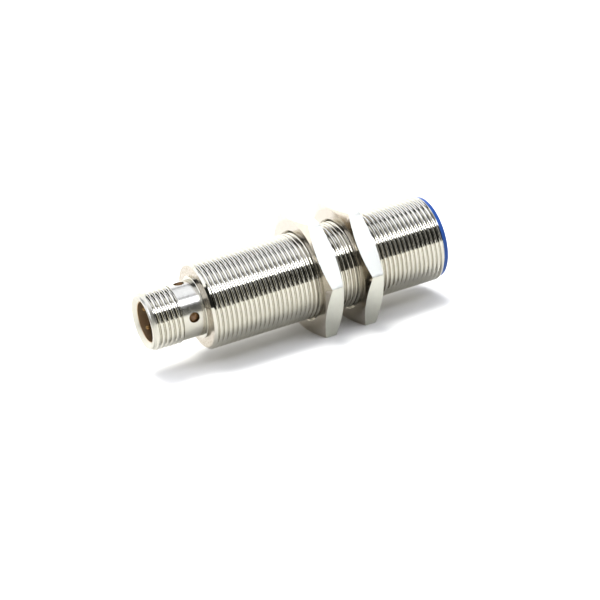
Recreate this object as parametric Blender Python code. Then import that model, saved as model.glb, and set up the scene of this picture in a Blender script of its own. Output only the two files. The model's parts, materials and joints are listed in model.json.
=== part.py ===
"""Cylindrical inductive proximity sensor: M18 x 1 barrel, two lock nuts, M12 x 1 plug connector.

The sensor lies along the X axis with the centre of its sensing face at the origin. The
barrel and the connector run towards -X, and +Z is up. The lock nuts stand on their
lower flats. Every length below is in millimetres; meshes are made in metres.
"""
import math

import bmesh
import bpy
from mathutils import Matrix, Vector

MM = 0.001
GAP = 0.2                      # clearance between pieces that are pressed or glued in reality

# Barrel: a nickel-plated tube whose whole outside carries the M18 x 1 thread.
BARREL_R = 9.0
BARREL_BORE_R = 7.7
BARREL_FRONT_X = -0.95
BARREL_REAR_X = -52.8
BARREL_FRONT_CHAMFER = 0.2
BARREL_REAR_CHAMFER = 0.5
LIP_THICKNESS = 1.4            # inward lip that closes the rear of the tube
LIP_HOLE_R = 5.95
HUB_R = 6.4                    # low collar round the hole in the rear lip
HUB_LENGTH = 0.5

# Lock nuts: thin hexagon nuts, chamfered on both sides.
NUT_ACROSS_FLATS = 24.0
NUT_THICKNESS = 4.0
NUT_BORE_R = 9.15
NUT_COUNTERSINK = 0.4
NUT_FACE_R = 11.7              # radius of the flat disc inside the corner chamfers
NUT_CHAMFER_ANGLE = math.radians(21.0)
FRONT_NUT_X = -19.0
REAR_NUT_X = -28.0

# Sensing cap: a plastic cup pushed into the front of the barrel.
CAP_RIM_R = 8.6
CAP_RIM_LENGTH = 0.7
CAP_EDGE = 0.2
CAP_FACE_THICKNESS = 1.0
CAP_SPIGOT_R = 7.5
CAP_SPIGOT_REAR_X = -9.0
CAP_WALL = 0.45

# Oscillator coil: pot core, bobbin and winding, with a metal shield ring round them.
COIL_FRONT_X = -1.3
CORE_R = 6.4
CORE_REAR_X = -5.9
CORE_GROOVE_OUTER_R = 5.4
CORE_GROOVE_INNER_R = 2.9
CORE_GROOVE_FLOOR_X = -4.9
CORE_HOLE_R = 1.2
CORE_SLOT_WIDTH = 1.6
BOBBIN_BORE_R = 3.1
BOBBIN_HUB_R = 3.5
BOBBIN_FLANGE_R = 5.2
BOBBIN_FLANGE = 0.4
WINDING_R = 5.0
WINDING_LAYER_TURNS = 5
SHIELD_R = 6.85
SHIELD_BORE_R = 6.6
CARRIER_R = 6.8
CARRIER_FRONT_X = -6.3
CARRIER_REAR_X = -8.6

# Circuit board with its components, standing on the sensor's middle plane.
BOARD_FRONT_X = -7.6
BOARD_REAR_X = -45.8
BOARD_WIDTH = 12.0
BOARD_THICKNESS = 1.0
SOLDER_GAP = 0.1

# Connector sleeve: M12 x 1 thread, smooth neck with four light holes, inner flange.
THREAD_R = 6.0
SLEEVE_RIM_X = -64.5
SLEEVE_RIM_R = 5.55
SLEEVE_THREAD_FRONT_X = -64.0
SLEEVE_THREAD_REAR_X = -58.0
SOCKET_R = 4.1
SOCKET_CHAMFER = 0.3
NECK_R = 5.72
NECK_BORE_R = 4.95
NECK_STEP_X = -57.3
FLANGE_R = 7.4
FLANGE_FRONT_X = -49.0
FLANGE_REAR_X = -50.4
LIGHT_HOLE_R = 1.05
LIGHT_HOLE_X = -55.6
LIGHT_COUNT = 4

# Light guide ring, light-emitting diodes and their round board, inside the neck.
GUIDE_BORE_R = 4.15
GUIDE_R = 4.75
GUIDE_REAR_X = -57.1
GUIDE_FRONT_X = -53.6
WINDOW_R = 0.85
WINDOW_TOP_R = 5.2
LAMP_SIZE = (0.6, 1.0, 0.5)    # along the axis, round the ring, across the ring
LAMP_X = -53.1
LAMP_RING_R = 4.45
LAMP_BOARD_R = 4.75
LAMP_BOARD_FRONT_X = -51.8
LAMP_BOARD_REAR_X = -52.6

# Contact insert: A-coded, four pins.
INSERT_R = 4.0
INSERT_FACE_X = -58.0
INSERT_FRONT_X = -52.8
KEY_TIP_X = -62.5
KEY_WIDTH = 1.0
KEY_INNER_R = 3.35
KEY_OUTER_R = 3.9
PIN_COUNT = 4
PIN_R = 0.5
PIN_HOLE_R = 0.65
PIN_CIRCLE_R = 2.75
PIN_TIP_X = -63.3
PIN_TAIL_X = -50.8

# Sealing ring, potting plug and wires.
SEAL_X = -50.9
SEAL_RING_R = 6.7
SEAL_CORD_R = 0.4
PLUG_R = 7.4
PLUG_REAR_X = -48.8
PLUG_FRONT_X = -46.8
PLUG_HOLE_R = 0.55
PIN_WIRE_R = 0.3
COIL_WIRE_R = 0.2

# Facets round a full turn.
BARREL_FACETS = 64
SLEEVE_FACETS = 48
COIL_FACETS = 32
SMALL_FACETS = 16
WIRE_FACETS = 8


# ---------------------------------------------------------------- materials

def make_material(name, colour, roughness, metallic=0.0, transmission=0.0):
    """A Principled material with one colour."""
    material = bpy.data.materials.new(name)
    material.use_nodes = True
    shader = material.node_tree.nodes["Principled BSDF"]
    shader.inputs["Base Color"].default_value = (*colour, 1.0)
    shader.inputs["Roughness"].default_value = roughness
    shader.inputs["Metallic"].default_value = metallic
    shader.inputs["Transmission Weight"].default_value = transmission
    material.diffuse_color = (*colour, 1.0)
    return material


def make_materials():
    """Every material of the sensor, by the name of what it is."""
    return {
        "nickel": make_material("nickel_plate", (0.76, 0.74, 0.68), 0.2, metallic=1.0),
        "blue": make_material("blue_plastic", (0.02, 0.12, 0.62), 0.35),
        "amber": make_material("amber_plastic", (0.42, 0.2, 0.05), 0.3, transmission=0.4),
        "black": make_material("black_plastic", (0.03, 0.025, 0.02), 0.45),
        "brown": make_material("insert_plastic", (0.22, 0.14, 0.07), 0.45),
        "natural": make_material("natural_plastic", (0.7, 0.68, 0.6), 0.5),
        "ferrite": make_material("ferrite", (0.07, 0.07, 0.075), 0.6),
        "copper": make_material("copper_wire", (0.75, 0.3, 0.12), 0.3, metallic=1.0),
        "brass": make_material("shield_brass", (0.7, 0.5, 0.2), 0.3, metallic=1.0),
        "gold": make_material("gold_plate", (0.9, 0.65, 0.25), 0.2, metallic=1.0),
        "laminate": make_material("glass_laminate", (0.03, 0.2, 0.08), 0.4),
        "ceramic": make_material("ceramic_tan", (0.5, 0.38, 0.22), 0.5),
        "resin": make_material("potting_resin", (0.05, 0.05, 0.05), 0.5),
        "rubber": make_material("seal_rubber", (0.02, 0.02, 0.02), 0.7),
        "lamp": make_material("lamp_epoxy", (0.95, 0.85, 0.4), 0.3),
        "insulation": make_material("wire_insulation", (0.55, 0.05, 0.04), 0.5),
    }


# ---------------------------------------------------------------- shape tools

def add_object(name, mesh, material, parent, place=(0.0, 0.0, 0.0), turn_x=0.0):
    """Turn a bmesh into an object with a material, at a place in millimetres."""
    bmesh.ops.recalc_face_normals(mesh, faces=mesh.faces)
    data = bpy.data.meshes.new(name)
    mesh.to_mesh(data)
    mesh.free()
    data.shade_smooth()
    data.set_sharp_from_angle(angle=math.radians(30.0))
    if material:
        data.materials.append(material)
    item = bpy.data.objects.new(name, data)
    item.location = Vector(place) * MM
    item.rotation_euler = (turn_x, 0.0, 0.0)
    item.parent = parent
    bpy.context.collection.objects.link(item)
    return item


def turned_mesh(outline, facets):
    """Spin an outline of (x, radius) points about the X axis into a closed surface.

    The outline is closed by an edge from its last point to its first, unless both lie on
    the axis, where the spun surface closes by itself.
    """
    mesh = bmesh.new()
    points = [mesh.verts.new((x * MM, 0.0, radius * MM)) for x, radius in outline]
    pairs = list(zip(points, points[1:]))
    if outline[0][1] > 0.0 or outline[-1][1] > 0.0:
        pairs.append((points[-1], points[0]))
    edges = [mesh.edges.new(pair) for pair in pairs]
    bmesh.ops.spin(mesh, geom=points + edges, cent=(0.0, 0.0, 0.0), axis=(1.0, 0.0, 0.0),
                   angle=math.tau, steps=facets, use_merge=True)
    bmesh.ops.remove_doubles(mesh, verts=mesh.verts, dist=1e-6)
    return mesh


def turned(name, outline, facets, material, parent, place=(0.0, 0.0, 0.0)):
    """A turned object."""
    return add_object(name, turned_mesh(outline, facets), material, parent, place)


def tube_outline(x_front, x_rear, bore_r, outer_r):
    """The outline of a plain ring."""
    return [(x_front, bore_r), (x_front, outer_r), (x_rear, outer_r), (x_rear, bore_r)]


def add_box(mesh, low, high):
    """Add one box to a bmesh, from its low to its high corner."""
    low, high = Vector(low) * MM, Vector(high) * MM
    size = Matrix.Diagonal((high - low).to_4d())
    size[3][3] = 1.0
    bmesh.ops.create_cube(mesh, size=1.0, matrix=Matrix.Translation((low + high) / 2.0) @ size)


def box_mesh(*corners):
    """A bmesh of one or more separate boxes, each given as (low, high)."""
    mesh = bmesh.new()
    for low, high in corners:
        add_box(mesh, low, high)
    return mesh


def add_rod(mesh, start, end, radius, facets=SMALL_FACETS):
    """Add one round rod to a bmesh, between two points."""
    start, end = Vector(start) * MM, Vector(end) * MM
    along = end - start
    turn = along.to_track_quat("Z", "Y").to_matrix().to_4x4()
    bmesh.ops.create_cone(mesh, cap_ends=True, segments=facets, radius1=radius * MM,
                          radius2=radius * MM, depth=along.length,
                          matrix=Matrix.Translation((start + end) / 2.0) @ turn)


def rods_mesh(rods, radius, facets=SMALL_FACETS):
    """A bmesh of one or more separate rods, each given as (start, end)."""
    mesh = bmesh.new()
    for start, end in rods:
        add_rod(mesh, start, end, radius, facets)
    return mesh


def combine(target, tool_mesh, operation):
    """Cut, join or intersect an object with a hidden tool body."""
    tool = add_object(target.name + "_" + operation.lower() + "_tool", tool_mesh, None, target)
    tool.hide_render = True
    tool.display_type = "WIRE"
    modifier = target.modifiers.new(operation.title(), "BOOLEAN")
    modifier.operation = operation
    modifier.object = tool


def wire(name, path, radius, material, parent):
    """A round wire along a smooth curve through the points of a path."""
    curve = bpy.data.curves.new(name + "_path", "CURVE")
    curve.dimensions = "3D"
    curve.resolution_u = 3
    curve.bevel_depth = radius * MM
    curve.bevel_resolution = WIRE_FACETS // 2 - 2
    curve.use_fill_caps = True
    spline = curve.splines.new("NURBS")
    spline.points.add(len(path) - 1)
    for point, place in zip(spline.points, path):
        point.co = (*(Vector(place) * MM), 1.0)
    spline.order_u = 3
    spline.use_endpoint_u = True
    item = bpy.data.objects.new(name, curve)
    item.data.materials.append(material)
    item.parent = parent
    bpy.context.collection.objects.link(item)
    return item


def ring_places(count, radius, x, first_angle=0.0):
    """Evenly spaced places on a circle about the X axis, with their angles from +Y."""
    for index in range(count):
        angle = first_angle + index * math.tau / count
        yield angle, (x, radius * math.cos(angle), radius * math.sin(angle))


# ---------------------------------------------------------------- housing

def make_barrel(materials, parent):
    """The threaded tube, with a chamfer at each end and an inward lip at the rear."""
    lip_x = BARREL_REAR_X + LIP_THICKNESS
    hub_x = BARREL_REAR_X - HUB_LENGTH
    outline = [
        (BARREL_FRONT_X, BARREL_BORE_R),
        (BARREL_FRONT_X, BARREL_R - BARREL_FRONT_CHAMFER),
        (BARREL_FRONT_X - BARREL_FRONT_CHAMFER, BARREL_R),
        (BARREL_REAR_X + BARREL_REAR_CHAMFER, BARREL_R),
        (BARREL_REAR_X, BARREL_R - BARREL_REAR_CHAMFER),
        (BARREL_REAR_X, HUB_R),
        (hub_x, HUB_R),
        (hub_x, LIP_HOLE_R),
        (lip_x, LIP_HOLE_R),
        (lip_x, BARREL_BORE_R),
    ]
    turned("housing_tube", outline, BARREL_FACETS, materials["nickel"], parent)


def make_lock_nut(name, x, materials, parent):
    """A turned blank with a bore, countersinks and corner chamfers, cut to a hexagon.

    The hexagon's corners point along +Y and -Y, so a flat is at the bottom. The nut's
    origin is on the sensor's axis.
    """
    half = NUT_THICKNESS / 2.0
    corner_r = NUT_ACROSS_FLATS / 2.0 / math.cos(math.pi / 6.0)
    blank_r = corner_r + 1.0
    drop = (blank_r - NUT_FACE_R) * math.tan(NUT_CHAMFER_ANGLE)
    outline = [
        (half, NUT_BORE_R + NUT_COUNTERSINK),
        (half, NUT_FACE_R),
        (half - drop, blank_r),
        (-half + drop, blank_r),
        (-half, NUT_FACE_R),
        (-half, NUT_BORE_R + NUT_COUNTERSINK),
        (-half + NUT_COUNTERSINK, NUT_BORE_R),
        (half - NUT_COUNTERSINK, NUT_BORE_R),
    ]
    nut = turned(name, outline, BARREL_FACETS, materials["nickel"], parent, (x, 0.0, 0.0))
    hexagon = bmesh.new()
    along_x = Matrix.Rotation(math.pi / 2.0, 4, "Y")
    bmesh.ops.create_cone(hexagon, cap_ends=True, segments=6, radius1=corner_r * MM,
                          radius2=corner_r * MM, depth=(NUT_THICKNESS + 2.0) * MM,
                          matrix=along_x)
    combine(nut, hexagon, "INTERSECT")


def make_sensing_cap(materials, parent):
    """The plastic cup: a rim that covers the barrel's front edge, and a thin spigot."""
    spigot_bore_r = CAP_SPIGOT_R - CAP_WALL
    outline = [
        (0.0, 0.0),
        (0.0, CAP_RIM_R - CAP_EDGE),
        (-CAP_EDGE, CAP_RIM_R),
        (-CAP_RIM_LENGTH, CAP_RIM_R),
        (-CAP_RIM_LENGTH, CAP_SPIGOT_R),
        (CAP_SPIGOT_REAR_X, CAP_SPIGOT_R),
        (CAP_SPIGOT_REAR_X, spigot_bore_r),
        (-CAP_FACE_THICKNESS, spigot_bore_r),
        (-CAP_FACE_THICKNESS, 0.0),
    ]
    turned("sensing_cap", outline, BARREL_FACETS, materials["blue"], parent)


# ---------------------------------------------------------------- coil

def make_ferrite_core(materials, parent):
    """The pot core: a ring groove open to the front, a centre hole and two wire slots."""
    outline = [
        (COIL_FRONT_X, CORE_GROOVE_OUTER_R),
        (COIL_FRONT_X, CORE_R),
        (CORE_REAR_X, CORE_R),
        (CORE_REAR_X, CORE_HOLE_R),
        (COIL_FRONT_X, CORE_HOLE_R),
        (COIL_FRONT_X, CORE_GROOVE_INNER_R),
        (CORE_GROOVE_FLOOR_X, CORE_GROOVE_INNER_R),
        (CORE_GROOVE_FLOOR_X, CORE_GROOVE_OUTER_R),
    ]
    core = turned("ferrite_core", outline, COIL_FACETS, materials["ferrite"], parent)
    half = CORE_SLOT_WIDTH / 2.0
    inner, outer = CORE_GROOVE_OUTER_R - 0.4, CORE_R + 1.0
    front, rear = COIL_FRONT_X + 1.0, CORE_REAR_X - 1.0
    slots = box_mesh(
        ((rear, -half, inner), (front, half, outer)),
        ((rear, -half, -outer), (front, half, -inner)),
    )
    combine(core, slots, "DIFFERENCE")


def make_bobbin_and_winding(materials, parent):
    """The flanged bobbin in the core's groove, and the wound coil between its flanges."""
    front = COIL_FRONT_X - GAP
    rear = CORE_GROOVE_FLOOR_X + GAP
    outline = [
        (front, BOBBIN_BORE_R),
        (front, BOBBIN_FLANGE_R),
        (front - BOBBIN_FLANGE, BOBBIN_FLANGE_R),
        (front - BOBBIN_FLANGE, BOBBIN_HUB_R),
        (rear + BOBBIN_FLANGE, BOBBIN_HUB_R),
        (rear + BOBBIN_FLANGE, BOBBIN_FLANGE_R),
        (rear, BOBBIN_FLANGE_R),
        (rear, BOBBIN_BORE_R),
    ]
    turned("coil_bobbin", outline, COIL_FACETS, materials["natural"], parent)

    start = front - BOBBIN_FLANGE - GAP
    end = rear + BOBBIN_FLANGE + GAP
    pitch = (start - end) / WINDING_LAYER_TURNS
    dip = pitch * 0.25
    coil = [(end, BOBBIN_HUB_R + GAP), (start, BOBBIN_HUB_R + GAP)]
    for turn in range(WINDING_LAYER_TURNS):
        x = start - turn * pitch
        coil.append((x, WINDING_R - dip))
        coil.append((x - pitch / 2.0, WINDING_R))
    coil.append((end, WINDING_R - dip))
    turned("coil_winding", coil, COIL_FACETS, materials["copper"], parent)


def make_shield_and_carrier(materials, parent):
    """The shield ring round the core, and the plastic carrier that joins core and board."""
    turned("shield_ring", tube_outline(COIL_FRONT_X, CARRIER_FRONT_X + GAP, SHIELD_BORE_R, SHIELD_R),
           COIL_FACETS, materials["brass"], parent)

    outline = [(CARRIER_FRONT_X, 0.0), (CARRIER_FRONT_X, CARRIER_R),
               (CARRIER_REAR_X, CARRIER_R), (CARRIER_REAR_X, 0.0)]
    carrier = turned("core_carrier", outline, COIL_FACETS, materials["natural"], parent)
    half_width = BOARD_WIDTH / 2.0 + GAP
    half_height = BOARD_THICKNESS / 2.0 + GAP
    half_slot = CORE_SLOT_WIDTH / 2.0
    inner, outer = CORE_GROOVE_OUTER_R - 0.4, CARRIER_R + 1.0
    front, rear = CARRIER_FRONT_X + 1.0, CARRIER_REAR_X - 1.0
    slots = box_mesh(
        ((rear, -half_width, -half_height), (BOARD_FRONT_X + GAP, half_width, half_height)),
        ((rear, -half_slot, inner), (front, half_slot, outer)),
        ((rear, -half_slot, -outer), (front, half_slot, -inner)),
    )
    combine(carrier, slots, "DIFFERENCE")


# ---------------------------------------------------------------- circuit board

def make_block(name, x, y, size, side, material, parent):
    """A small block component, bevelled, on the board's upper (+1) or lower (-1) side."""
    length, width, height = size
    z = side * (BOARD_THICKNESS / 2.0 + SOLDER_GAP + height / 2.0)
    mesh = box_mesh(((-length / 2.0, -width / 2.0, -height / 2.0),
                     (length / 2.0, width / 2.0, height / 2.0)))
    bmesh.ops.bevel(mesh, geom=mesh.edges, offset=0.12 * MM, segments=1, affect="EDGES")
    return add_object(name, mesh, material, parent, (x, y, z))


def make_leaded_block(name, x, y, size, leg_pairs, leg_width, material, parent):
    """A block on the upper side with straight legs that reach out of both long sides."""
    block = make_block(name, x, y, size, 1, material, parent)
    length, width, height = size
    reach = width / 2.0 + 1.0
    bottom = -height / 2.0
    pitch = length / leg_pairs
    legs = []
    for index in range(leg_pairs):
        middle = (index + 0.5) * pitch - length / 2.0
        legs.append(((middle - leg_width / 2.0, -reach, bottom + 0.2),
                     (middle + leg_width / 2.0, reach, bottom + 0.4)))
    combine(block, box_mesh(*legs), "UNION")


def make_circuit_board(materials, parent):
    """The long board, with the oscillator, output and protection components."""
    half = BOARD_WIDTH / 2.0
    mesh = box_mesh(((BOARD_REAR_X, -half, -BOARD_THICKNESS / 2.0),
                     (BOARD_FRONT_X, half, BOARD_THICKNESS / 2.0)))
    add_object("circuit_board", mesh, materials["laminate"], parent)

    make_leaded_block("oscillator_chip", -20.0, 0.0, (8.6, 3.9, 1.5), 7, 0.45,
                      materials["black"], parent)
    make_leaded_block("output_transistor", -36.5, 0.6, (4.6, 2.5, 1.5), 2, 0.8,
                      materials["black"], parent)
    make_block("tuning_capacitor", -13.6, 2.6, (3.2, 1.6, 1.2), 1, materials["ceramic"], parent)
    make_block("trim_resistor", -13.6, -2.6, (3.2, 1.6, 0.6), 1, materials["black"], parent)
    make_block("filter_capacitor", -29.5, 0.0, (6.0, 3.2, 2.5), 1, materials["ceramic"], parent)
    make_block("suppressor_diode", -41.2, 0.0, (2.6, 4.3, 2.2), -1, materials["black"], parent)
    make_block("output_resistor", -33.0, 0.0, (3.2, 1.6, 0.6), -1, materials["black"], parent)


# ---------------------------------------------------------------- connector

def make_connector_sleeve(materials, parent):
    """The M12 x 1 sleeve with its socket, smooth neck, light holes and inner flange."""
    step = THREAD_R - NECK_R
    outline = [
        (SLEEVE_RIM_X, SOCKET_R + SOCKET_CHAMFER),
        (SLEEVE_RIM_X, SLEEVE_RIM_R),
        (SLEEVE_THREAD_FRONT_X, THREAD_R),
        (SLEEVE_THREAD_REAR_X, THREAD_R),
        (SLEEVE_THREAD_REAR_X + step, NECK_R),
        (FLANGE_REAR_X, NECK_R),
        (FLANGE_REAR_X, FLANGE_R),
        (FLANGE_FRONT_X, FLANGE_R),
        (FLANGE_FRONT_X, NECK_BORE_R),
        (NECK_STEP_X, NECK_BORE_R),
        (NECK_STEP_X, SOCKET_R),
        (SLEEVE_RIM_X + SOCKET_CHAMFER, SOCKET_R),
    ]
    sleeve = turned("connector_sleeve", outline, SLEEVE_FACETS, materials["nickel"], parent)
    reach = NECK_R + 1.0
    for axis in ((0.0, 1.0, 0.0), (0.0, 0.0, 1.0)):
        middle = Vector((LIGHT_HOLE_X, 0.0, 0.0))
        across = Vector(axis) * reach
        combine(sleeve, rods_mesh([(middle - across, middle + across)], LIGHT_HOLE_R), "DIFFERENCE")


def make_light_guide(materials, parent):
    """The clear ring inside the neck, with a round window standing in each light hole."""
    ring = tube_outline(GUIDE_FRONT_X, GUIDE_REAR_X, GUIDE_BORE_R, GUIDE_R)
    guide = turned("light_guide", ring, SLEEVE_FACETS // 2, materials["amber"], parent)
    foot_r = (GUIDE_BORE_R + GUIDE_R) / 2.0
    feet = ring_places(LIGHT_COUNT, foot_r, LIGHT_HOLE_X)
    tops = ring_places(LIGHT_COUNT, WINDOW_TOP_R, LIGHT_HOLE_X)
    rods = [(foot, top) for (_, foot), (_, top) in zip(feet, tops)]
    combine(guide, rods_mesh(rods, WINDOW_R), "UNION")


def make_lamps(materials, parent):
    """Four light-emitting diodes behind the light guide, on a round board."""
    length, width, height = (value / 2.0 for value in LAMP_SIZE)
    for index, (angle, place) in enumerate(ring_places(LIGHT_COUNT, LAMP_RING_R, LAMP_X)):
        mesh = box_mesh(((-length, -height, -width), (length, height, width)))
        add_object(f"status_lamp_{index + 1}", mesh, materials["lamp"], parent, place, angle)

    outline = [(LAMP_BOARD_FRONT_X, 0.0), (LAMP_BOARD_FRONT_X, LAMP_BOARD_R),
               (LAMP_BOARD_REAR_X, LAMP_BOARD_R), (LAMP_BOARD_REAR_X, 0.0)]
    board = turned("lamp_board", outline, SLEEVE_FACETS // 2, materials["laminate"], parent)
    combine(board, pin_holes(LAMP_BOARD_REAR_X - 1.0, LAMP_BOARD_FRONT_X + 1.0, PIN_HOLE_R),
            "DIFFERENCE")


def pin_holes(x_rear, x_front, radius):
    """Cutting rods along the four pin axes."""
    rods = []
    for _, (_, y, z) in ring_places(PIN_COUNT, PIN_CIRCLE_R, 0.0, math.pi / 4.0):
        rods.append(((x_rear, y, z), (x_front, y, z)))
    return rods_mesh(rods, radius)


def make_insert_and_pins(materials, parent):
    """The contact insert with its coding key, and the four contact pins through it."""
    outline = [(INSERT_FRONT_X, 0.0), (INSERT_FRONT_X, INSERT_R),
               (INSERT_FACE_X, INSERT_R), (INSERT_FACE_X, 0.0)]
    insert = turned("contact_insert", outline, SLEEVE_FACETS // 2, materials["brown"], parent)
    key = box_mesh(((KEY_TIP_X, -KEY_WIDTH / 2.0, KEY_INNER_R),
                    (INSERT_FACE_X + 1.0, KEY_WIDTH / 2.0, KEY_OUTER_R)))
    combine(insert, key, "UNION")
    combine(insert, pin_holes(INSERT_FACE_X - 1.0, INSERT_FRONT_X + 1.0, PIN_HOLE_R), "DIFFERENCE")

    tip = PIN_R * 0.6
    pin_outline = [(0.0, 0.0), (0.0, PIN_R - tip), (tip, PIN_R),
                   (PIN_TAIL_X - PIN_TIP_X, PIN_R), (PIN_TAIL_X - PIN_TIP_X, 0.0)]
    for index, (_, place) in enumerate(ring_places(PIN_COUNT, PIN_CIRCLE_R, PIN_TIP_X,
                                                   math.pi / 4.0)):
        turned(f"contact_pin_{index + 1}", pin_outline, SMALL_FACETS, materials["gold"],
               parent, place)


def make_seal_and_plug(materials, parent):
    """The sealing ring behind the lip, and the potting plug with its four wire holes."""
    ring = []
    for step in range(WIRE_FACETS):
        angle = step * math.tau / WIRE_FACETS
        ring.append((SEAL_X + SEAL_CORD_R * math.cos(angle),
                     SEAL_RING_R + SEAL_CORD_R * math.sin(angle)))
    turned("sealing_ring", ring, COIL_FACETS, materials["rubber"], parent)

    outline = [(PLUG_FRONT_X, 0.0), (PLUG_FRONT_X, PLUG_R),
               (PLUG_REAR_X, PLUG_R), (PLUG_REAR_X, 0.0)]
    plug = turned("potting_plug", outline, COIL_FACETS, materials["resin"], parent)
    combine(plug, pin_holes(PLUG_REAR_X - 1.0, PLUG_FRONT_X + 1.0, PLUG_HOLE_R), "DIFFERENCE")


# ---------------------------------------------------------------- wires

def make_pin_wires(materials, parent):
    """One wire from the tail of each contact pin, through the plug, to the board's end."""
    for index, (_, (_, y, z)) in enumerate(ring_places(PIN_COUNT, PIN_CIRCLE_R, 0.0,
                                                       math.pi / 4.0)):
        side = math.copysign(1.0, z)
        pad_z = side * (BOARD_THICKNESS / 2.0 + PIN_WIRE_R + SOLDER_GAP)
        path = [
            (PIN_TAIL_X + GAP, y, z),
            (PLUG_FRONT_X + GAP, y, z),
            (BOARD_REAR_X + 0.6, y * 1.3, z * 0.9),
            (BOARD_REAR_X + 1.2, y * 1.5, pad_z),
            (BOARD_REAR_X + 2.8, y * 1.5, pad_z),
        ]
        wire(f"pin_wire_{index + 1}", path, PIN_WIRE_R, materials["insulation"], parent)


def make_coil_wires(materials, parent):
    """The two ends of the winding, led out through the core's slots to the board."""
    slot_r = (CORE_GROOVE_OUTER_R + CORE_R) / 2.0
    for index, side in enumerate((1.0, -1.0)):
        pad_z = side * (BOARD_THICKNESS / 2.0 + COIL_WIRE_R + SOLDER_GAP)
        path = [
            (-3.0, 0.0, side * (WINDING_R + COIL_WIRE_R + GAP)),
            (-4.0, 0.0, side * slot_r),
            (CARRIER_REAR_X - 1.0, 0.0, side * slot_r),
            (CARRIER_REAR_X - 1.8, 0.0, pad_z),
            (CARRIER_REAR_X - 3.4, 0.0, pad_z),
        ]
        wire(f"coil_wire_{index + 1}", path, COIL_WIRE_R, materials["copper"], parent)


# ---------------------------------------------------------------- assembly

def clear_scene():
    """Remove whatever the start-up file holds."""
    for item in list(bpy.data.objects):
        bpy.data.objects.remove(item, do_unlink=True)


def build_sensor():
    """Make every piece of the sensor under one empty at the sensing face."""
    clear_scene()
    sensor = bpy.data.objects.new("proximity_sensor", None)
    bpy.context.collection.objects.link(sensor)
    materials = make_materials()

    make_barrel(materials, sensor)
    make_lock_nut("front_lock_nut", FRONT_NUT_X, materials, sensor)
    make_lock_nut("rear_lock_nut", REAR_NUT_X, materials, sensor)
    make_sensing_cap(materials, sensor)

    make_ferrite_core(materials, sensor)
    make_bobbin_and_winding(materials, sensor)
    make_shield_and_carrier(materials, sensor)
    make_circuit_board(materials, sensor)

    make_connector_sleeve(materials, sensor)
    make_light_guide(materials, sensor)
    make_lamps(materials, sensor)
    make_insert_and_pins(materials, sensor)
    make_seal_and_plug(materials, sensor)
    make_pin_wires(materials, sensor)
    make_coil_wires(materials, sensor)


build_sensor()
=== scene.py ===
"""Looks of an M18 x 1 inductive proximity sensor: real threads, chamfered nuts, finishes, studio.

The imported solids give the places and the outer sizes. This script cuts the helical threads,
rounds the edges and gives each piece its finish. Lengths are in millimetres until a mesh is
made. The sensor lies along X with its sensing face at the origin, and +Z is up.
"""
import json
import math

import bmesh
import bpy
from mathutils import Matrix, Vector

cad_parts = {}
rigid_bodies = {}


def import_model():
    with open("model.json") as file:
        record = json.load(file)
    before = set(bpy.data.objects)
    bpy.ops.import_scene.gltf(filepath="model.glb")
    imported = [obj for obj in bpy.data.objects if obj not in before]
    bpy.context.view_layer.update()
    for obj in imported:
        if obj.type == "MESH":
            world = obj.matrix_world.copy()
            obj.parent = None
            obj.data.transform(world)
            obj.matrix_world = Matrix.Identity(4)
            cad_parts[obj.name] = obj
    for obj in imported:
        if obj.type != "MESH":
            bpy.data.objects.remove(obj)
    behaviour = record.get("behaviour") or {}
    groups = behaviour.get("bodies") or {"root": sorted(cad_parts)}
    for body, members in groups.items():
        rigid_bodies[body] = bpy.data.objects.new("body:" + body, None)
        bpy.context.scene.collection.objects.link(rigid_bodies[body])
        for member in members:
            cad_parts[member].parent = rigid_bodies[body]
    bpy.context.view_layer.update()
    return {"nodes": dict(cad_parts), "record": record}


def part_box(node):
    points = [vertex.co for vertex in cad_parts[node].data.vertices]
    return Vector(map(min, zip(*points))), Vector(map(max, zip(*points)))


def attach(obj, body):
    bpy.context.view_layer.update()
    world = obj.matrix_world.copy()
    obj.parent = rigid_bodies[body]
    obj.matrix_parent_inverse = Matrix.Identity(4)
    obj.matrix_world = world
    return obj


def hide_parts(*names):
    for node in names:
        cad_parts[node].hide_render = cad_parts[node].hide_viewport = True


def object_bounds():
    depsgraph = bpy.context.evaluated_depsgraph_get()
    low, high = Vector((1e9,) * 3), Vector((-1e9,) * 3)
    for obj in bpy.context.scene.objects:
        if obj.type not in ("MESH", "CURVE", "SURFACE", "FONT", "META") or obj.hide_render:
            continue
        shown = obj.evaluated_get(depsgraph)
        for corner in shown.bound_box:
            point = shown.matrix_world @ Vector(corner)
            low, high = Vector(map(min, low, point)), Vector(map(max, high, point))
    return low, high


MM = 0.001

# The thread's form, with a wide rounded crest at place 0 and a narrow root at place 0.5:
# (place along the thread as a share of the pitch, depth as a share of THREAD_DEPTH).
PITCH = 1.0
THREAD_DEPTH = 0.40
THREAD_FLANK = [(0.11, 0.002), (0.16, 0.034), (0.21, 0.133), (0.30, 0.417), (0.40, 0.750),
                (0.46, 0.920)]
THREAD_FORM = [(0.0, 0.0)] + THREAD_FLANK + [(round(1.0 - place, 2), depth)
                                             for place, depth in reversed(THREAD_FLANK)]

# Points round each kind of piece.
BARREL_COLUMNS = 128
SLEEVE_COLUMNS = 96
NUT_COLUMNS = 192
PIN_COLUMNS = 32
HOLE_COLUMNS = 48

SHARP_ANGLE = 35.0          # degrees: an edge that turns more than this is shaded sharp
SAME_PLACE = 1e-6           # points along the axis that are nearer than this fall together

# The barrel's rear end and the plug sleeve.
HUB_LENGTH = 0.5            # low collar round the sleeve on the barrel's rear end
HUB_R = 6.4
NECK_R = 5.72
NECK_BORE_R = 4.95
SOCKET_R = 4.1
SLEEVE_THREAD_LENGTH = 6.35
RELIEF_LENGTH = 0.22        # groove between the sleeve's thread and its neck

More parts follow.
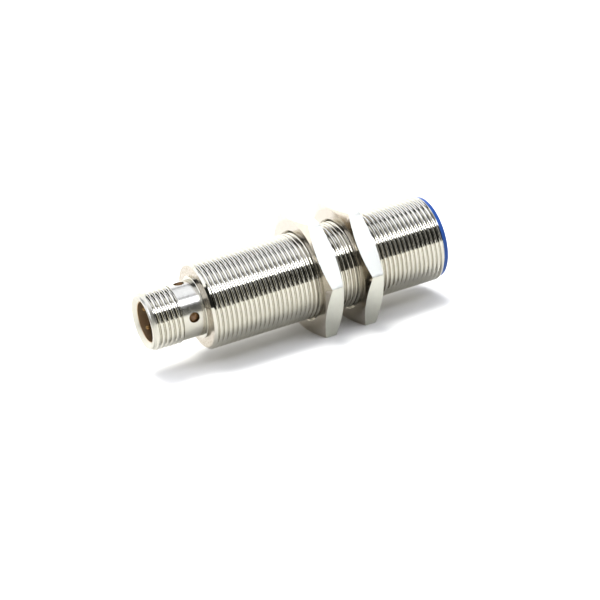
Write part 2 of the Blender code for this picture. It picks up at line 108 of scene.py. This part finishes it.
# The light holes round the neck, and the windows in them.
LIGHT_COUNT = 4
LIGHT_HOLE_X = -55.6
LIGHT_HOLE_R = 1.05


# ---------------------------------------------------------------- shape tools

def thread_depth(phase):
    """Share of the full thread depth at a phase, which is 0 on the crest's middle."""
    phase %= 1.0
    form = THREAD_FORM + [(1.0, 0.0)]
    for (start, low), (end, high) in zip(form, form[1:]):
        if phase <= end:
            return low + (high - low) * (phase - start) / (end - start)
    return 0.0


class Shell:
    """One closed surface round the X axis, built ring by ring, in millimetres."""

    def __init__(self, columns):
        self.columns = columns
        self.points = []
        self.faces = []
        self.first = None
        self.last = None

    def angle(self, column):
        """Angle of a column from +Y towards +Z."""
        return column * math.tau / self.columns

    def point(self, x, radius, column):
        """Add one point and return its number."""
        angle = self.angle(column)
        self.points.append((x, radius * math.cos(angle), radius * math.sin(angle)))
        return len(self.points) - 1

    def face(self, *corners):
        """Add a face, without the corners that fall together."""
        distinct = list(dict.fromkeys(corners))
        if len(distinct) > 2:
            self.faces.append(distinct)

    def bridge(self, low, high):
        """Join two rings with faces."""
        for column in range(self.columns):
            after = (column + 1) % self.columns
            self.face(low[column], low[after], high[after], high[column])

    def follow(self, ring):
        """Join a ring to the one before it, or start with it."""
        if self.last:
            self.bridge(self.last, ring)
        else:
            self.first = ring
        self.last = ring
        return ring

    def ring(self, x, radius):
        """Add a ring. x and radius are numbers, or functions of the column."""
        x_at = x if callable(x) else lambda column: x
        radius_at = radius if callable(radius) else lambda column: radius
        return self.follow([self.point(x_at(column), radius_at(column), column)
                            for column in range(self.columns)])

    def rings(self, outline):
        """Add a ring for each (x, radius) of an outline."""
        for x, radius in outline:
            self.ring(x, radius)

    def thread(self, start, end, radius_at):
        """Add a right-handed thread from start to end along X.

        radius_at(x, depth) gives the surface's radius where the thread has that share of
        its full depth. The grid leans with the helix, so crest and root are clean lines.
        """
        low, high = min(start, end), max(start, end)
        turns = math.ceil((high - low) / PITCH) + 2
        first_turn = math.floor(low / PITCH) - 1
        places = [turn + phase for turn in range(first_turn, first_turn + turns + 1)
                  for phase, _ in THREAD_FORM]
        rows = []
        for column in range(self.columns):
            lead = column / self.columns
            ends = [self.point(x, radius_at(x, thread_depth(x / PITCH - lead)), column)
                    for x in (low, high)]
            row = []
            for place in places:
                x = (place + lead) * PITCH
                if x <= low + SAME_PLACE:
                    row.append(ends[0])
                elif x >= high - SAME_PLACE:
                    row.append(ends[1])
                else:
                    row.append(self.point(x, radius_at(x, thread_depth(place)), column))
            rows.append(row)
        form = len(THREAD_FORM)
        wrapped = rows[0][form:] + [rows[0][-1]] * form
        for row, beside in zip(rows, rows[1:] + [wrapped]):
            for place in range(len(places) - 1):
                self.face(row[place], beside[place], beside[place + 1], row[place + 1])
        lowest = [row[0] for row in rows]
        highest = [row[-1] for row in rows]
        if start < end:
            self.follow(lowest)
            self.last = highest
        else:
            self.follow(highest)
            self.last = lowest
        return self.last

    def pole(self, ring, x):
        """Close a ring with a fan to a point on the axis."""
        self.points.append((x, 0.0, 0.0))
        tip = len(self.points) - 1
        for column in range(self.columns):
            self.face(ring[column], ring[(column + 1) % self.columns], tip)

    def close(self):
        """Join the last ring to the first."""
        self.bridge(self.last, self.first)

    def make(self, name, material, sharp=SHARP_ANGLE, rounded=(), rounding=0.0):
        """Turn the shell into an object. rounded lists point pairs whose edges are bevelled."""
        mesh = bmesh.new()
        points = [mesh.verts.new(Vector(point) * MM) for point in self.points]
        for face in self.faces:
            mesh.faces.new([points[corner] for corner in face])
        loose = [point for point in mesh.verts if not point.link_faces]
        pairs = {frozenset((points[a], points[b])) for a, b in rounded}
        edges = [edge for edge in mesh.edges if frozenset(edge.verts) in pairs]
        if edges:
            bmesh.ops.bevel(mesh, geom=edges, offset=rounding * MM, segments=2, profile=0.5,
                            affect="EDGES", clamp_overlap=True)
        bmesh.ops.delete(mesh, geom=[point for point in loose if point.is_valid], context="VERTS")
        return object_from(name, mesh, material, sharp)


def object_from(name, mesh, material, sharp=SHARP_ANGLE):
    """A smooth-shaded object from a bmesh."""
    bmesh.ops.recalc_face_normals(mesh, faces=mesh.faces)
    data = bpy.data.meshes.new(name)
    mesh.to_mesh(data)
    mesh.free()
    data.shade_smooth()
    data.set_sharp_from_angle(angle=math.radians(sharp))
    data.materials.append(material)
    item = bpy.data.objects.new(name, data)
    bpy.context.scene.collection.objects.link(item)
    return item


def combine(target, tools, operation):
    """Cut or join tools with an object and keep only the result."""
    for tool in tools:
        modifier = target.modifiers.new(operation.title(), "BOOLEAN")
        modifier.operation = operation
        modifier.object = tool
    graph = bpy.context.evaluated_depsgraph_get()
    data = bpy.data.meshes.new_from_object(target.evaluated_get(graph))
    target.modifiers.clear()
    target.data = data
    for tool in tools:
        bpy.data.objects.remove(tool, do_unlink=True)
    data.shade_smooth()
    data.set_sharp_from_angle(angle=math.radians(SHARP_ANGLE))


def weigh_normals(item):
    """Keep large faces flat beside their narrow rounded edges."""
    modifier = item.modifiers.new("Weighted normals", "WEIGHTED_NORMAL")
    modifier.keep_sharp = True


def round_the_neck(name, outline, material):
    """Turned plugs at the light holes. outline is (distance from the sensor's axis, radius)."""
    tip = 0.02
    plugs = []
    for number in range(LIGHT_COUNT):
        shell = Shell(HOLE_COLUMNS)
        shell.rings(outline)
        shell.pole(shell.first, outline[0][0])
        shell.pole(shell.last, outline[-1][0] + tip)
        plug = shell.make(f"{name}_{number}", material)
        plug.matrix_world = (Matrix.Translation((LIGHT_HOLE_X * MM, 0.0, 0.0))
                             @ Matrix.Rotation(number * math.tau / LIGHT_COUNT, 4, "X")
                             @ Matrix.Rotation(math.pi / 2.0, 4, "Z"))
        plugs.append(plug)
    bpy.context.view_layer.update()
    return plugs


# ---------------------------------------------------------------- sizes from the frame

def span(node):
    """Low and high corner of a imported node, in millimetres."""
    low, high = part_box(node)
    return low / MM, high / MM


# ---------------------------------------------------------------- materials

class Nodes:
    """Short-hand for building a node tree."""

    def __init__(self, tree):
        self.tree = tree

    def add(self, kind, **settings):
        node = self.tree.nodes.new(kind)
        for name, value in settings.items():
            setattr(node, name, value)
        return node

    def link(self, source, target):
        self.tree.links.new(source, target)

    def feed(self, socket, value):
        """Link an output to a socket, or set the socket's value."""
        if isinstance(value, bpy.types.NodeSocket):
            self.link(value, socket)
        else:
            socket.default_value = value

    def math(self, operation, first, second=0.0):
        node = self.add("ShaderNodeMath", operation=operation)
        self.feed(node.inputs[0], first)
        self.feed(node.inputs[1], second)
        return node.outputs[0]

    def noise(self, vector, scale, detail=3.0, roughness=0.5):
        node = self.add("ShaderNodeTexNoise")
        self.feed(node.inputs["Vector"], vector)
        node.inputs["Scale"].default_value = scale
        node.inputs["Detail"].default_value = detail
        node.inputs["Roughness"].default_value = roughness
        return node.outputs["Fac"]

    def ranged(self, value, low, high, to_low=0.0, to_high=1.0, smooth=False):
        node = self.add("ShaderNodeMapRange", clamp=True)
        if smooth:
            node.interpolation_type = "SMOOTHSTEP"
        self.feed(node.inputs["Value"], value)
        node.inputs["From Min"].default_value = low
        node.inputs["From Max"].default_value = high
        self.feed(node.inputs["To Min"], to_low)
        self.feed(node.inputs["To Max"], to_high)
        return node.outputs["Result"]

    def mix(self, factor, first, second):
        node = self.add("ShaderNodeMix", data_type="RGBA")
        self.feed(node.inputs["Factor"], factor)
        self.feed(node.inputs["A"], first)
        self.feed(node.inputs["B"], second)
        return node.outputs["Result"]

    def bump(self, height, strength, distance, normal=None):
        node = self.add("ShaderNodeBump")
        node.inputs["Strength"].default_value = strength
        node.inputs["Distance"].default_value = distance * MM
        self.feed(node.inputs["Height"], height)
        if normal:
            self.link(normal, node.inputs["Normal"])
        return node.outputs["Normal"]


def start_material(name):
    """A new material with its node helper and its Principled shader."""
    material = bpy.data.materials.new(name)
    material.use_nodes = True
    nodes = Nodes(material.node_tree)
    return material, nodes, material.node_tree.nodes["Principled BSDF"]


def place_of(nodes):
    """Place in millimetres, in the piece's own frame."""
    scaled = nodes.add("ShaderNodeVectorMath", operation="SCALE")
    nodes.link(nodes.add("ShaderNodeTexCoord").outputs["Object"], scaled.inputs[0])
    scaled.inputs["Scale"].default_value = 1.0 / MM
    return scaled.outputs[0]


def facing_x(nodes):
    """How far the surface faces +X, from -1 to 1."""
    parts = nodes.add("ShaderNodeSeparateXYZ")
    nodes.link(nodes.add("ShaderNodeTexCoord").outputs["Normal"], parts.inputs[0])
    return parts.outputs[0]


def turned_place(nodes, place):
    """(x, radius) of a place, on which noise becomes rings round the axis."""
    parts = nodes.add("ShaderNodeSeparateXYZ")
    nodes.link(place, parts.inputs[0])
    squares = [nodes.math("MULTIPLY", parts.outputs[axis], parts.outputs[axis]) for axis in (1, 2)]
    radius = nodes.math("SQRT", nodes.math("ADD", *squares))
    joined = nodes.add("ShaderNodeCombineXYZ")
    nodes.link(parts.outputs[0], joined.inputs[0])
    nodes.link(radius, joined.inputs[1])
    return joined.outputs[0]


def shade(colour, factor):
    """A colour made lighter or darker."""
    return (*(min(1.0, channel * factor) for channel in colour), 1.0)


def make_finish(name, colour, roughness, metallic=0.0, variation=0.1, grain=2.0, rough_spread=0.05,
                bump=0.1, bump_grain=8.0, stretch=(1.0, 1.0, 1.0)):
    """A general moulded, sintered or plated finish with colour, roughness and grain noise."""
    material, nodes, shader = start_material(name)
    stretched = nodes.add("ShaderNodeVectorMath", operation="MULTIPLY")
    nodes.link(place_of(nodes), stretched.inputs[0])
    stretched.inputs[1].default_value = stretch
    place = stretched.outputs[0]
    broad = nodes.noise(place, grain)
    nodes.link(nodes.mix(broad, shade(colour, 1.0 - variation), shade(colour, 1.0 + variation)),
               shader.inputs["Base Color"])
    nodes.link(nodes.ranged(nodes.noise(place, grain * 3.0), 0.3, 0.7, roughness - rough_spread,
                            roughness + rough_spread), shader.inputs["Roughness"])
    nodes.link(nodes.bump(nodes.noise(place, bump_grain, 4.0, 0.6), bump, 0.02),
               shader.inputs["Normal"])
    shader.inputs["Metallic"].default_value = metallic
    return material, shader


def make_turned_nickel():
    """Bright nickel on turned brass: mirror threads, satin neck and nose, end face with brown
    mottling painted in as a painted reflection.
    """
    rim_x = span("connector_sleeve")[0].x
    neck_x = rim_x + SLEEVE_THREAD_LENGTH + RELIEF_LENGTH
    nose_end = rim_x + 0.9
    material, nodes, shader = start_material("nickel_turned")
    place = place_of(nodes)
    turned = turned_place(nodes, place)
    parts = nodes.add("ShaderNodeSeparateXYZ")
    nodes.link(turned, parts.inputs[0])
    along, radius = parts.outputs[0], parts.outputs[1]
    on_neck = nodes.math("MULTIPLY", nodes.ranged(along, neck_x - 0.17, neck_x + 0.03),
                         nodes.ranged(radius, NECK_R + 0.08, NECK_R + 0.18, 1.0, 0.0))
    on_nose = nodes.ranged(along, nose_end - 0.1, nose_end + 0.1, 1.0, 0.0)
    in_socket = nodes.ranged(radius, SOCKET_R + 0.05, SOCKET_R + 0.15, 1.0, 0.0)
    on_end_face = nodes.math("MULTIPLY", nodes.ranged(facing_x(nodes), -0.97, -0.9, 1.0, 0.0),
                             nodes.ranged(radius, HUB_R, HUB_R + 0.1))
    cloud = nodes.noise(place, 0.8, 4.0)
    # The brown mottling on the rear end face is a painted reflection of the shaded floor and
    # nearby parts, not a real stain.
    painted_reflection_mottle = nodes.ranged(nodes.noise(place, 3.0, 5.0, 0.7), 0.40, 0.62)
    plated = nodes.mix(cloud, (0.54, 0.525, 0.465, 1.0), (0.60, 0.585, 0.52, 1.0))
    end_face_painted_reflection = nodes.mix(painted_reflection_mottle, (0.40, 0.35, 0.28, 1.0), (0.62, 0.58, 0.51, 1.0))
    outside = nodes.mix(on_end_face, plated, end_face_painted_reflection)
    nodes.link(nodes.mix(in_socket, outside, (0.55, 0.43, 0.29, 1.0)),
               shader.inputs["Base Color"])
    roughness = nodes.ranged(cloud, 0.3, 0.7, 0.04, 0.08)
    satin = nodes.math("MAXIMUM", on_neck, on_end_face)
    for where, rougher in ((satin, 0.22), (in_socket, 0.5), (on_nose, 0.36)):
        roughness = nodes.ranged(where, 0.0, 1.0, roughness, rougher)
    nodes.link(roughness, shader.inputs["Roughness"])
    rings = nodes.noise(turned, 9.0, 2.0, 0.6)
    wavy = nodes.bump(nodes.noise(place, 1.6, 2.0), 0.15, 0.05)
    nodes.link(nodes.bump(rings, 0.08, 0.01, wavy), shader.inputs["Normal"])
    shader.inputs["Metallic"].default_value = 1.0
    return material


def make_nut_nickel():
    """Nickel on a nut cut from drawn bar: satin, grainy flats and brighter turned faces, whose
    colour is painted darker and browner as a painted reflection.
    """
    material, nodes, shader = start_material("nickel_nut")
    place = place_of(nodes)
    turned = nodes.ranged(nodes.math("ABSOLUTE", facing_x(nodes)), 0.5, 0.8)
    cloud = nodes.noise(place, 0.9, 4.0)
    flats = nodes.mix(cloud, (0.60, 0.60, 0.54, 1.0), (0.68, 0.68, 0.61, 1.0))
    # The turned faces' darker, browner colour is a painted reflection of the shaded floor and the
    # barrel.
    faces = nodes.mix(cloud, (0.52, 0.48, 0.42, 1.0), (0.62, 0.58, 0.51, 1.0))
    nodes.link(nodes.mix(turned, flats, faces), shader.inputs["Base Color"])
    grain = nodes.noise(place, 14.0, 3.0, 0.65)
    nodes.link(nodes.ranged(turned, 0.0, 1.0, nodes.ranged(grain, 0.3, 0.7, 0.24, 0.36), 0.16),
               shader.inputs["Roughness"])
    rings = nodes.noise(turned_place(nodes, place), 6.0, 3.0, 0.6)
    fine = nodes.bump(grain, 0.25, 0.012)
    nodes.link(nodes.bump(rings, 0.15, 0.012, fine), shader.inputs["Normal"])
    shader.inputs["Metallic"].default_value = 1.0
    return material


def make_blue_plastic():
    """Satin moulded blue plastic of the sensing cap."""
    material, shader = make_finish("blue_plastic", (0.028, 0.085, 0.27), 0.38, variation=0.16,
                                   grain=0.9, bump=0.35, bump_grain=9.0)
    shader.inputs["Specular IOR Level"].default_value = 0.35
    return material


def make_amber_plastic():
    """Smoky amber light guide."""
    material, shader = make_finish("amber_plastic", (0.30, 0.17, 0.07), 0.18, variation=0.35,
                                   grain=2.5, bump=0.15, bump_grain=3.0)
    shader.inputs["Transmission Weight"].default_value = 0.35
    shader.inputs["IOR"].default_value = 1.55
    return material


def make_materials():
    """Every finish by its slot name in the record."""
    plain = {
        "black_plastic": dict(colour=(0.03, 0.026, 0.022), roughness=0.42, bump=0.2),
        "insert_plastic": dict(colour=(0.34, 0.24, 0.14), roughness=0.4, variation=0.5, grain=1.6,
                               bump=0.2, stretch=(1.0, 1.0, 0.3)),
        "natural_plastic": dict(colour=(0.70, 0.68, 0.60), roughness=0.45),
        "ferrite": dict(colour=(0.07, 0.07, 0.075), roughness=0.6, variation=0.3, bump=0.4,
                        bump_grain=10.0),
        "copper_wire": dict(colour=(0.75, 0.32, 0.14), roughness=0.28, metallic=1.0),
        "shield_brass": dict(colour=(0.72, 0.52, 0.22), roughness=0.3, metallic=1.0,
                             stretch=(6.0, 1.0, 1.0)),
        "laminate": dict(colour=(0.03, 0.20, 0.09), roughness=0.35, variation=0.2, grain=4.0),
        "resistor_film": dict(colour=(0.05, 0.05, 0.055), roughness=0.35),
        "capacitor_ceramic": dict(colour=(0.50, 0.38, 0.22), roughness=0.5, bump=0.25),
        "seal_rubber": dict(colour=(0.02, 0.02, 0.02), roughness=0.65, bump=0.3),
        "potting_resin": dict(colour=(0.05, 0.05, 0.05), roughness=0.4, bump=0.2, grain=1.0),
        "gold_plate": dict(colour=(0.30, 0.20, 0.09), roughness=0.5, metallic=1.0,
                           stretch=(0.3, 1.0, 1.0)),
        "wire_insulation": dict(colour=(0.55, 0.05, 0.04), roughness=0.4),
        "lamp_epoxy": dict(colour=(0.95, 0.85, 0.45), roughness=0.2),
    }
    materials = {name: make_finish(name, **values)[0] for name, values in plain.items()}
    materials["nickel"] = make_turned_nickel()
    materials["nut_nickel"] = make_nut_nickel()
    materials["blue_plastic"] = make_blue_plastic()
    materials["amber_plastic"] = make_amber_plastic()
    return materials


# ---------------------------------------------------------------- pieces

def settle(piece, body, node):
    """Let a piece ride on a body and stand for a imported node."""
    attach(piece, body)
    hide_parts(node)


def make_barrel(materials):
    """The barrel with its M18 x 1 thread from end to end, and a chamfer at each end."""
    low, high = span("housing_tube")
    barrel_r = high.y
    front_x = high.x
    rear_x = low.x + HUB_LENGTH
    bore_r = 7.7
    lip_x = rear_x + 1.4
    lip_r = NECK_R + 0.03
    hub_edge = 0.08
    rear_edge_r = barrel_r - 0.55
    front_edge_r = barrel_r - 0.2

    def surface(x, depth):
        envelope = min(barrel_r, rear_edge_r + (x - rear_x), front_edge_r + (front_x - x))
        return min(barrel_r - THREAD_DEPTH * depth, envelope)

    shell = Shell(BARREL_COLUMNS)
    shell.rings([(lip_x, bore_r), (lip_x, lip_r), (low.x, lip_r), (low.x, HUB_R - hub_edge),
                 (low.x + hub_edge, HUB_R), (rear_x, HUB_R)])
    shell.thread(rear_x, front_x, surface)
    shell.ring(front_x, bore_r)
    shell.close()
    piece = shell.make("threaded_barrel", materials["nickel"])
    settle(piece, "sensor_body", "housing_tube")


def make_nut(name, node, body, materials):
    """A hexagon lock nut: threaded bore, countersinks, turned faces and corner chamfers."""
    low, high = span(node)
    middle = (low.x + high.x) / 2.0
    half = (high.x - low.x) / 2.0
    half_flats = high.z
    disc_r = half_flats - 0.3
    chamfer_slope = math.tan(math.radians(21.0))
    root_r = 9.07
    countersink = 0.42
    edge = 0.07
    shell = Shell(NUT_COLUMNS)

    def hexagon(column):
        """Radius of the hexagon at a column."""
        turn = shell.angle(column) % (math.pi / 3.0) - math.pi / 6.0
        return half_flats / math.cos(turn)

    def drop(column):
        """How far the chamfer has fallen from the face where it meets the hexagon."""
        return (hexagon(column) - disc_r) * chamfer_slope

    def surface(x, depth):
        to_face = half - abs(x - middle)
        return max(root_r - THREAD_DEPTH * depth, root_r + countersink - to_face)

    shell.thread(middle - half, middle + half, surface)
    front_disc = shell.ring(middle + half, disc_r)
    front_rim = shell.ring(lambda column: middle + half - drop(column), hexagon)
    rear_rim = shell.ring(lambda column: middle - half + drop(column), hexagon)
    rear_disc = shell.ring(middle - half, disc_r)
    shell.close()
    rounded = []
    for ring in (front_disc, front_rim, rear_rim, rear_disc):
        rounded += list(zip(ring, ring[1:] + ring[:1]))
    for corner in range(0, NUT_COLUMNS, NUT_COLUMNS // 6):
        rounded.append((front_rim[corner], rear_rim[corner]))
    piece = shell.make(name, materials["nut_nickel"], 40.0, rounded, edge)
    weigh_normals(piece)
    settle(piece, body, node)


def make_cap(materials):
    """The blue sensing cap: a rounded rim in front of the barrel and a thin spigot inside."""
    low, high = span("sensing_cap")
    rim_r = high.y
    rim_end = span("housing_tube")[1].x + 0.03
    spigot_r = 7.5
    hollow_r = 7.05
    hollow_x = -1.0
    edge = 0.2
    shell = Shell(BARREL_COLUMNS)
    face = shell.ring(0.0, rim_r - edge)
    for step in range(1, 5):
        turn = step * math.pi / 8.0
        shell.ring(-edge * (1.0 - math.cos(turn)), rim_r - edge + edge * math.sin(turn))
    shell.rings([(rim_end, rim_r), (rim_end, spigot_r), (low.x, spigot_r), (low.x, hollow_r),
                 (hollow_x, hollow_r)])
    shell.pole(face, 0.0)
    shell.pole(shell.last, hollow_x)
    piece = shell.make("blue_sensing_cap", materials["blue_plastic"], 50.0)
    settle(piece, "sensor_body", "sensing_cap")


def make_sleeve(materials):
    """The M12 x 1 plug sleeve: nose, thread, relief groove, neck, light holes, inner flange."""
    low, high = span("connector_sleeve")
    rim_x = low.x
    thread_r = 6.0
    rim_r = 5.05
    rim_edge = 0.04
    countersink = 0.75
    nose_r = 5.5
    nose_end = rim_x + 0.4
    nose_edge = 0.15
    thread_end = rim_x + SLEEVE_THREAD_LENGTH
    relief_r = 5.42
    neck_x = thread_end + RELIEF_LENGTH
    neck_edge = 0.06
    bore_step_x = -57.3
    flange_x = high.x - 1.4
    flange_r = high.y

    def surface(x, depth):
        envelope = min(nose_r - nose_edge + (x - rim_x), max(nose_r, nose_r + (x - nose_end)))
        return min(thread_r - THREAD_DEPTH * depth, envelope)

    shell = Shell(SLEEVE_COLUMNS)
    shell.rings([(rim_x + countersink, SOCKET_R), (rim_x + rim_edge, rim_r - 0.1), (rim_x, rim_r)])
    shell.thread(rim_x, thread_end, surface)
    shell.rings([(thread_end, relief_r), (neck_x, relief_r), (neck_x, NECK_R - neck_edge),
                 (neck_x + neck_edge, NECK_R)])
    for step in range(1, 9):
        shell.ring(neck_x + neck_edge + step * 0.6, NECK_R)
    shell.rings([(flange_x, NECK_R), (flange_x, flange_r), (high.x, flange_r),
                 (high.x, NECK_BORE_R), (bore_step_x, NECK_BORE_R), (bore_step_x, SOCKET_R)])
    shell.close()
    piece = shell.make("threaded_sleeve", materials["nickel"])
    countersunk = [(4.0, LIGHT_HOLE_R), (5.66, LIGHT_HOLE_R), (5.85, LIGHT_HOLE_R + 0.15),
                   (7.0, LIGHT_HOLE_R + 0.15)]
    combine(piece, round_the_neck("hole_tool", countersunk, materials["nickel"]), "DIFFERENCE")
    weigh_normals(piece)
    settle(piece, "sensor_body", "connector_sleeve")


def make_light_guide(materials):
    """The amber ring inside the neck, with a domed window standing in each light hole."""
    low, high = span("light_guide")
    bore_r = 4.15
    ring_r = 4.75
    shell = Shell(SLEEVE_COLUMNS)
    shell.rings([(low.x, bore_r), (high.x, bore_r), (high.x, ring_r), (low.x, ring_r)])
    shell.close()
    piece = shell.make("amber_light_guide", materials["amber_plastic"])
    window_r = LIGHT_HOLE_R - 0.07
    domed = [(4.4, window_r), (4.98, window_r), (5.12, 0.84), (5.24, 0.58), (5.31, 0.3)]
    combine(piece, round_the_neck("window_tool", domed, materials["amber_plastic"]), "UNION")
    settle(piece, "sensor_body", "light_guide")


def make_pins(materials):
    """Four gold contact pins with rounded tips."""
    tail_edge = 0.1
    for index in range(1, 5):
        node = f"contact_pin_{index}"
        low, high = span(node)
        radius = (high.y - low.y) / 2.0
        shell = Shell(PIN_COLUMNS)
        for step in range(1, 7):
            turn = step * math.pi / 12.0
            shell.ring(low.x + radius * (1.0 - math.cos(turn)), radius * math.sin(turn))
        shell.rings([(high.x - tail_edge, radius), (high.x, radius - tail_edge)])
        shell.pole(shell.first, low.x)
        shell.pole(shell.last, high.x)
        piece = shell.make(f"gold_pin_{index}", materials["gold_plate"])
        piece.location = (0.0, (low.y + high.y) / 2.0 * MM, (low.z + high.z) / 2.0 * MM)
        settle(piece, "sensor_body", node)


def paint_packed_nodes(frame, materials):
    """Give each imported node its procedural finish."""
    slots = {part["node"]: part["material_slot"] for part in frame["record"]["subparts"]}
    for node, item in frame["nodes"].items():
        item.data.materials.clear()
        item.data.materials.append(materials[slots[node]])


# ---------------------------------------------------------------- studio

def make_floor():
    """A pale table under the nuts' flats."""
    half_side = 300.0
    low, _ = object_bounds()
    mesh = bmesh.new()
    bmesh.ops.create_grid(mesh, x_segments=1, y_segments=1, size=half_side * MM,
                          matrix=Matrix.Translation((0.0, 0.0, low[2])))
    material, shader = make_finish("pale_table", (0.77, 0.76, 0.725), 0.9, variation=0.01,
                                   grain=0.01, bump=0.02, bump_grain=0.5)
    shader.inputs["Specular IOR Level"].default_value = 0.0
    floor = object_from("floor", mesh, material)


# Radiance of the tent where no patch is, and what the camera sees in its place.
TENT_LIGHT = 1.6
BACKDROP_LIGHT = 2.0

# Patches of the tent, each over the ones before it: azimuth from -Y towards +X and elevation,
# both from low to high, and the blur of the edge, in degrees, then the radiance.
TENT_PATCHES = [
    (-150.0, 128.0, 16.0, 28.0, 1.0, 1.2),      # dimmer band above the horizon
    (45.0, 120.0, -20.0, 52.0, 2.0, 0.60),      # grey panel on the right
    (-10.0, 5.0, -22.0, 57.0, 3.0, 0.04),       # dark upright in front
    (-90.0, -19.0, -20.0, 36.0, 1.0, 0.04),     # dark panel on the left
    (150.0, 235.0, 46.0, 100.0, 3.0, 0.03),     # dark panel high behind
    (-10.0, 36.0, 39.0, 57.0, 2.0, 5.2),        # key light, front right
    (35.0, 125.0, 45.0, 64.0, 1.0, 0.01),       # black panel beside the key
    (14.0, 39.0, -6.0, 38.0, 1.0, 0.01),        # black card below the key
]


def make_studio_light():
    """A bright tent round the object, with dark panels for the bright metal to mirror."""
    world = bpy.data.worlds.new("studio")
    bpy.context.scene.world = world
    world.use_nodes = True
    nodes = Nodes(world.node_tree)
    background = world.node_tree.nodes["Background"]
    parts = nodes.add("ShaderNodeSeparateXYZ")
    nodes.link(nodes.add("ShaderNodeTexCoord").outputs["Generated"], parts.inputs[0])
    x, y, z = parts.outputs
    azimuth = nodes.math("ARCTAN2", x, nodes.math("MULTIPLY", y, -1.0))
    azimuth = nodes.math("DEGREES", azimuth)
    elevation = nodes.math("DEGREES", nodes.math("ARCSINE", z))

    def patch(az_low, az_high, el_low, el_high, soft):
        """1 inside a patch of the tent, 0 outside. A patch may pass 180 degrees of azimuth."""
        middle = (az_low + az_high) / 2.0
        half = (az_high - az_low) / 2.0
        away = nodes.math("PINGPONG", nodes.math("SUBTRACT", azimuth, middle), 180.0)
        sides = [
            nodes.ranged(away, half - soft, half + soft, 1.0, 0.0, smooth=True),
            nodes.ranged(elevation, el_low - soft, el_low + soft, smooth=True),
            nodes.ranged(elevation, el_high - soft, el_high + soft, 1.0, 0.0, smooth=True),
        ]
        inside = sides[0]
        for side in sides[1:]:
            inside = nodes.math("MULTIPLY", inside, side)
        return inside

    light = TENT_LIGHT
    for *edges, level in TENT_PATCHES:
        inside = patch(*edges)
        rest = nodes.math("MULTIPLY", light, nodes.math("SUBTRACT", 1.0, inside))
        light = nodes.math("ADD", rest, nodes.math("MULTIPLY", inside, level))
    path = nodes.add("ShaderNodeLightPath")
    seen = nodes.add("ShaderNodeMix", data_type="FLOAT")
    nodes.link(path.outputs["Is Camera Ray"], seen.inputs["Factor"])
    nodes.link(light, seen.inputs["A"])
    seen.inputs["B"].default_value = BACKDROP_LIGHT
    nodes.link(seen.outputs["Result"], background.inputs["Strength"])
    high_up = nodes.ranged(elevation, 24.0, 42.0, smooth=True)
    white, cool_white = (1.0, 1.0, 1.0, 1.0), (0.93, 0.96, 1.08, 1.0)
    nodes.link(nodes.mix(high_up, white, cool_white), background.inputs["Color"])


def add_overhead_lamp():
    """An overhead lamp that lights the table and casts the shadow. Metal doesn't mirror it."""
    data = bpy.data.lights.new("overhead", "SUN")
    data.energy = 2.4
    data.angle = math.radians(30.0)
    lamp = bpy.data.objects.new("overhead", data)
    lamp.rotation_euler = (math.radians(-8.0), 0.0, 0.0)
    lamp.visible_glossy = False
    bpy.context.scene.collection.objects.link(lamp)


def aim_camera():
    """A long lens that looks at the sensor from its connector side, slightly rolled."""
    azimuth, elevation, roll = (math.radians(angle) for angle in (-22.62, 19.29, -9.27))
    target = Vector((-30.62, 0.0, -5.13)) * MM
    distance = 406.4 * MM
    back = Vector((math.sin(azimuth) * math.cos(elevation),
                   -math.cos(azimuth) * math.cos(elevation), math.sin(elevation)))
    right = Vector((math.cos(azimuth), math.sin(azimuth), 0.0))
    up = back.cross(right)
    across = math.cos(roll) * right + math.sin(roll) * up
    upward = math.cos(roll) * up - math.sin(roll) * right
    data = bpy.data.cameras.new("camera")
    data.lens = 120.0
    data.sensor_width = 36.0
    data.clip_start = 0.01
    camera = bpy.data.objects.new("camera", data)
    camera.matrix_world = Matrix((across, upward, back)).transposed().to_4x4()
    camera.location = target + distance * back
    bpy.context.scene.collection.objects.link(camera)
    bpy.context.scene.camera = camera


# ---------------------------------------------------------------- assembly

def clear_scene():
    """Remove whatever the start-up file holds."""
    for item in list(bpy.data.objects):
        bpy.data.objects.remove(item, do_unlink=True)


def set_view():
    """Show the light with a plain tone curve."""
    view = bpy.context.scene.view_settings
    view.view_transform = "Standard"
    view.exposure = 0.25
    view.gamma = 0.8


clear_scene()
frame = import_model()
set_view()

materials = make_materials()
paint_packed_nodes(frame, materials)
make_barrel(materials)
make_nut("rear_hex_nut", "rear_lock_nut", "rear_nut", materials)
make_nut("front_hex_nut", "front_lock_nut", "front_nut", materials)
make_cap(materials)
make_sleeve(materials)
make_light_guide(materials)
make_pins(materials)
make_floor()
make_studio_light()
add_overhead_lamp()
aim_camera()
